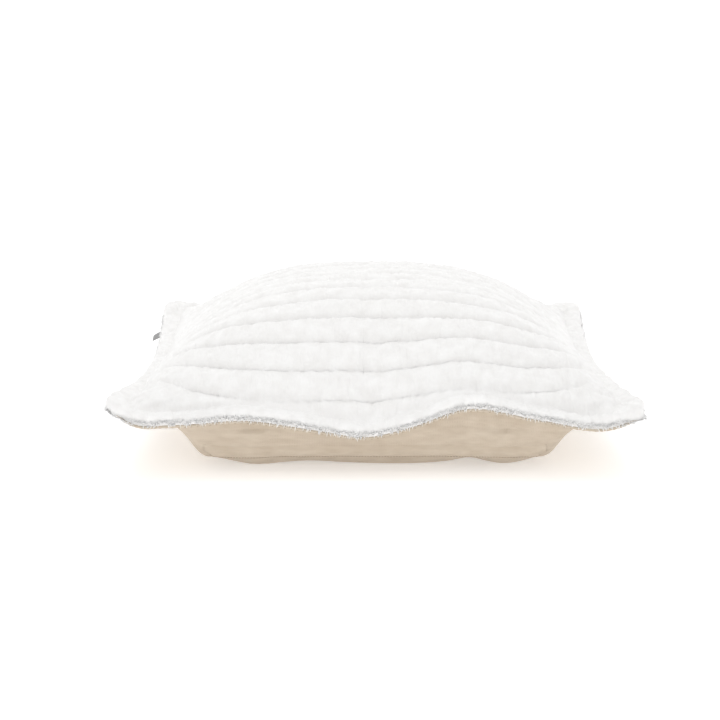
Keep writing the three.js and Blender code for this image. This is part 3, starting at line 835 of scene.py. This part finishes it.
def case_face(u, v, side, inset=0.0):
    """The inner cushion's top (side 1) or base (side -1), puckered along its seam."""
    x, y = u * CASE_HALF_X, CASE_Y + v * CASE_HALF_Y
    s, t = plan_inverse(x, y)
    seam = rim(s, t) + CASE_ABOVE_RIM + side * (CASE_CLOTH + 0.0002)
    swell = ((1 - u ** 6) * (1 - v ** 6)) ** 0.8
    above = rim(s, t) + PLUSH_BACK + (DOME - PLUSH_BACK) * crown(s, t)
    wall = above if side > 0 else underside(s, t)[..., 2] + CANVAS
    pucker = 0.0012 * noise(x, y, 0.02, 0.02, 12) * swell
    near_seam = np.exp(-((1 - np.maximum(np.abs(u), np.abs(v))) / 0.08) ** 2)
    around = np.where(np.abs(u) > np.abs(v), y, x)
    gather = np.sin(around * 260 + 3 * noise(around, 0 * x, 0.05, 1, 13))
    pucker = pucker + 0.0008 * gather * near_seam * swell
    z = mix(seam, wall - side * CASE_CLEAR, swell) + pucker
    return np.stack([x, y, z - side * inset], -1)


def inner_case(side):
    u, v = np.meshgrid(np.linspace(-1, 1, 150), np.linspace(-1, 1, 144))
    grid = case_face(u, v, side)
    name = "case_top" if side > 0 else "case_base"
    obj = grid_object(name, grid if side > 0 else grid[::-1], LINING)
    thickened(obj, CASE_CLOTH)
    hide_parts("inner_case_top" if side > 0 else "inner_case_base")
    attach(obj, "cushion")


def filling():
    """The fibre inside the case: two faces joined round their edges."""
    line = np.linspace(-FILL_REACH, FILL_REACH, 120)
    u, v = np.meshgrid(line, line)
    lumps = 0.0006 * noise(u, v, 0.08, 0.08, 14)[..., None] * np.array([0, 0, 1])
    top = case_face(u, v, 1, CASE_CLOTH + FILL_CLEAR) + lumps
    low = case_face(u, v, -1, CASE_CLOTH + FILL_CLEAR) - lumps
    rows, columns = u.shape
    faces = grid_faces(rows, columns).tolist()
    faces += grid_faces(rows, columns, rows * columns)[:, ::-1].tolist()
    index = np.arange(rows * columns).reshape(rows, columns)
    ring = np.concatenate([index[0], index[1:, -1], index[-1, -2::-1], index[-2:0:-1, 0]])
    beyond = np.roll(ring, -1)
    faces += np.stack([ring, ring + rows * columns, beyond + rows * columns, beyond], -1).tolist()
    points = np.concatenate([top.reshape(-1, 3), low.reshape(-1, 3)])
    obj = mesh_object("filling", points, faces, FIBRE)
    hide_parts("fibre_fill")
    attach(obj, "cushion")


# ---------------------------------------------------------------- how the loaded pillow settles

SIM = 72                 # points along each side of the simulated cover
SIM_FRAMES = 20
SIM_INSET = 0.006        # how much lower the top starts, as the cover swells
ABOVE, BELOW = 0, 1
LIMIT = 0.0035           # the farthest that the cover may move
RESTS_BELOW = 0.006      # points lower than this lie on the floor
ZIP_REACH = -0.6         # and those in front of this belong to the zip


def settle():
    """A cloth simulation of the stuffed cover. Gives how far each point of it moves."""
    line = np.linspace(-1, 1, SIM)
    s, t = np.meshgrid(line, line)
    top = top_point(s, t)
    top[..., 2] -= SIM_INSET
    low = underside(s, t)
    low[..., 0], low[..., 1] = plan(s, t)
    inner = np.zeros((SIM, SIM), bool)
    inner[1:-1, 1:-1] = True
    index = np.arange(SIM * SIM).reshape(SIM, SIM)
    below = index.copy()
    below[inner] = SIM * SIM + np.arange(inner.sum())
    quads = lambda g: np.stack([g[:-1, :-1], g[:-1, 1:], g[1:, 1:], g[1:, :-1]], -1).reshape(-1, 4)
    points = np.concatenate([top.reshape(-1, 3), low[inner]])
    faces = quads(index).tolist() + quads(below)[:, ::-1].tolist()
    obj = mesh_object("core", points, faces, CANVAS_CLOTH)
    held = obj.vertex_groups.new(name="held")
    near_zip = np.unique(below[t < ZIP_REACH]).tolist()
    held.add(sorted(set(near_zip) | set(index[~inner].tolist())), 1.0, "REPLACE")
    on_floor = inner & (t >= ZIP_REACH) & (low[..., 2] < RESTS_BELOW)
    held.add(below[on_floor].tolist(), 0.9, "REPLACE")
    cloth = obj.modifiers.new("cloth", "CLOTH")
    cloth.settings.quality = 5
    cloth.settings.mass = 0.25
    cloth.settings.tension_stiffness = 12
    cloth.settings.compression_stiffness = 12
    cloth.settings.shear_stiffness = 4
    cloth.settings.bending_stiffness = 0.4
    cloth.settings.use_pressure = True
    cloth.settings.uniform_pressure_force = 4
    cloth.settings.shrink_min = -0.05
    cloth.settings.effector_weights.gravity = 0
    cloth.settings.vertex_group_mass = "held"
    cloth.collision_settings.use_collision = False
    cloth.point_cache.frame_start, cloth.point_cache.frame_end = 1, SIM_FRAMES
    for number in range(1, SIM_FRAMES + 1):
        bpy.context.scene.frame_set(number)
    ready = obj.evaluated_get(bpy.context.evaluated_depsgraph_get())
    moved = np.array([v.co for v in ready.data.vertices]) - points
    bpy.context.scene.frame_set(1)
    bpy.data.objects.remove(obj, do_unlink=True)
    length = np.linalg.norm(moved, axis=1, keepdims=True)
    moved = moved / np.maximum(length, 1e-9) * LIMIT * np.tanh(length / LIMIT)
    return [moved[index], moved[below]]


def settled(s, t, layer):
    """The simulated movement at any s and t, as a smooth field."""
    if SETTLED is None:
        return 0.0
    field = SETTLED[layer]
    r, c = [(np.clip(v, -1, 1) + 1) / 2 * (SIM - 1) for v in (t, s)]
    i, j = [np.minimum(v.astype(int), SIM - 2) for v in (r, c)]
    a, b = [(v - w)[..., None] for v, w in ((r, i), (c, j))]
    a, b = a * a * (3 - 2 * a), b * b * (3 - 2 * b)
    near = mix(field[i, j], field[i, j + 1], b)
    return mix(near, mix(field[i + 1, j], field[i + 1, j + 1], b), a)


# ---------------------------------------------------------------- stage, light and camera


FLOOR_GLOW, WORLD_GLOW = 0.32, 0.84
KEY_POWER, FILL_POWER = 17, 12


def stage():
    """A pale floor that bends up into a wall far behind."""
    material, _, shader = new_material("stage", (0.95, 0.95, 0.95), 0.9)
    shader.inputs["Emission Color"].default_value = (1, 1, 1, 1)
    shader.inputs["Emission Strength"].default_value = FLOOR_GLOW
    size, wall_from, bend, height = 6.0, 2.2, 0.9, 4.0
    profile = [(-size, 0.0), (wall_from, 0.0)]
    for a in np.linspace(0.1, math.pi / 2, 12):
        profile.append((wall_from + bend * math.sin(a), bend * (1 - math.cos(a))))
    profile.append((wall_from + bend, height))
    points = [(x, y, z) for y, z in profile for x in (-size, size)]
    faces = [(2 * k, 2 * k + 1, 2 * k + 3, 2 * k + 2) for k in range(len(profile) - 1)]
    mesh_object("floor", points, faces, material)


def area_light(name, place, target, size, power):
    data = bpy.data.lights.new(name, "AREA")
    data.shape = "SQUARE"
    data.size = size
    data.energy = power
    light = bpy.data.objects.new(name, data)
    bpy.context.scene.collection.objects.link(light)
    light.location = place
    light.rotation_euler = (Vector(target) - Vector(place)).to_track_quat("-Z", "Y").to_euler()


def lights():
    area_light("key", (-0.3, 0.2, 2.6), (0, 0, 0.1), 2.2, KEY_POWER)
    area_light("front_fill", (0.2, -3.4, 1.0), (0, 0, 0.1), 2.4, FILL_POWER)
    world = bpy.data.worlds.new("studio")
    world.use_nodes = True
    world.node_tree.nodes["Background"].inputs["Color"].default_value = (1, 1, 1, 1)
    world.node_tree.nodes["Background"].inputs["Strength"].default_value = WORLD_GLOW
    bpy.context.scene.world = world
    bpy.context.scene.view_settings.view_transform = "Standard"


CAMERA_AT = (-0.02, -2.3835, 0.592)
LOOKS_DOWN = 11.9        # degrees
LENS, SENSOR = 82, 36    # millimetres


def camera():
    data = bpy.data.cameras.new("camera")
    data.lens = LENS
    data.sensor_width = SENSOR
    eye = bpy.data.objects.new("camera", data)
    bpy.context.scene.collection.objects.link(eye)
    eye.location = CAMERA_AT
    eye.rotation_euler = (math.radians(90 - LOOKS_DOWN), 0, 0)
    bpy.context.scene.camera = eye


# ---------------------------------------------------------------- build

camera()
lights()
stage()
SETTLED = settle()
plush_half("plush_left", -1, "cover_plush_left")
plush_half("plush_right", 1, "cover_plush_right")
pile_rim()
base_panel()
front_strip()
lip()
dress_zip()
for build in (coil_teeth, tape):
    build(1)
    build(-1)
hem_binding()
label()
inner_case(1)
inner_case(-1)
filling()
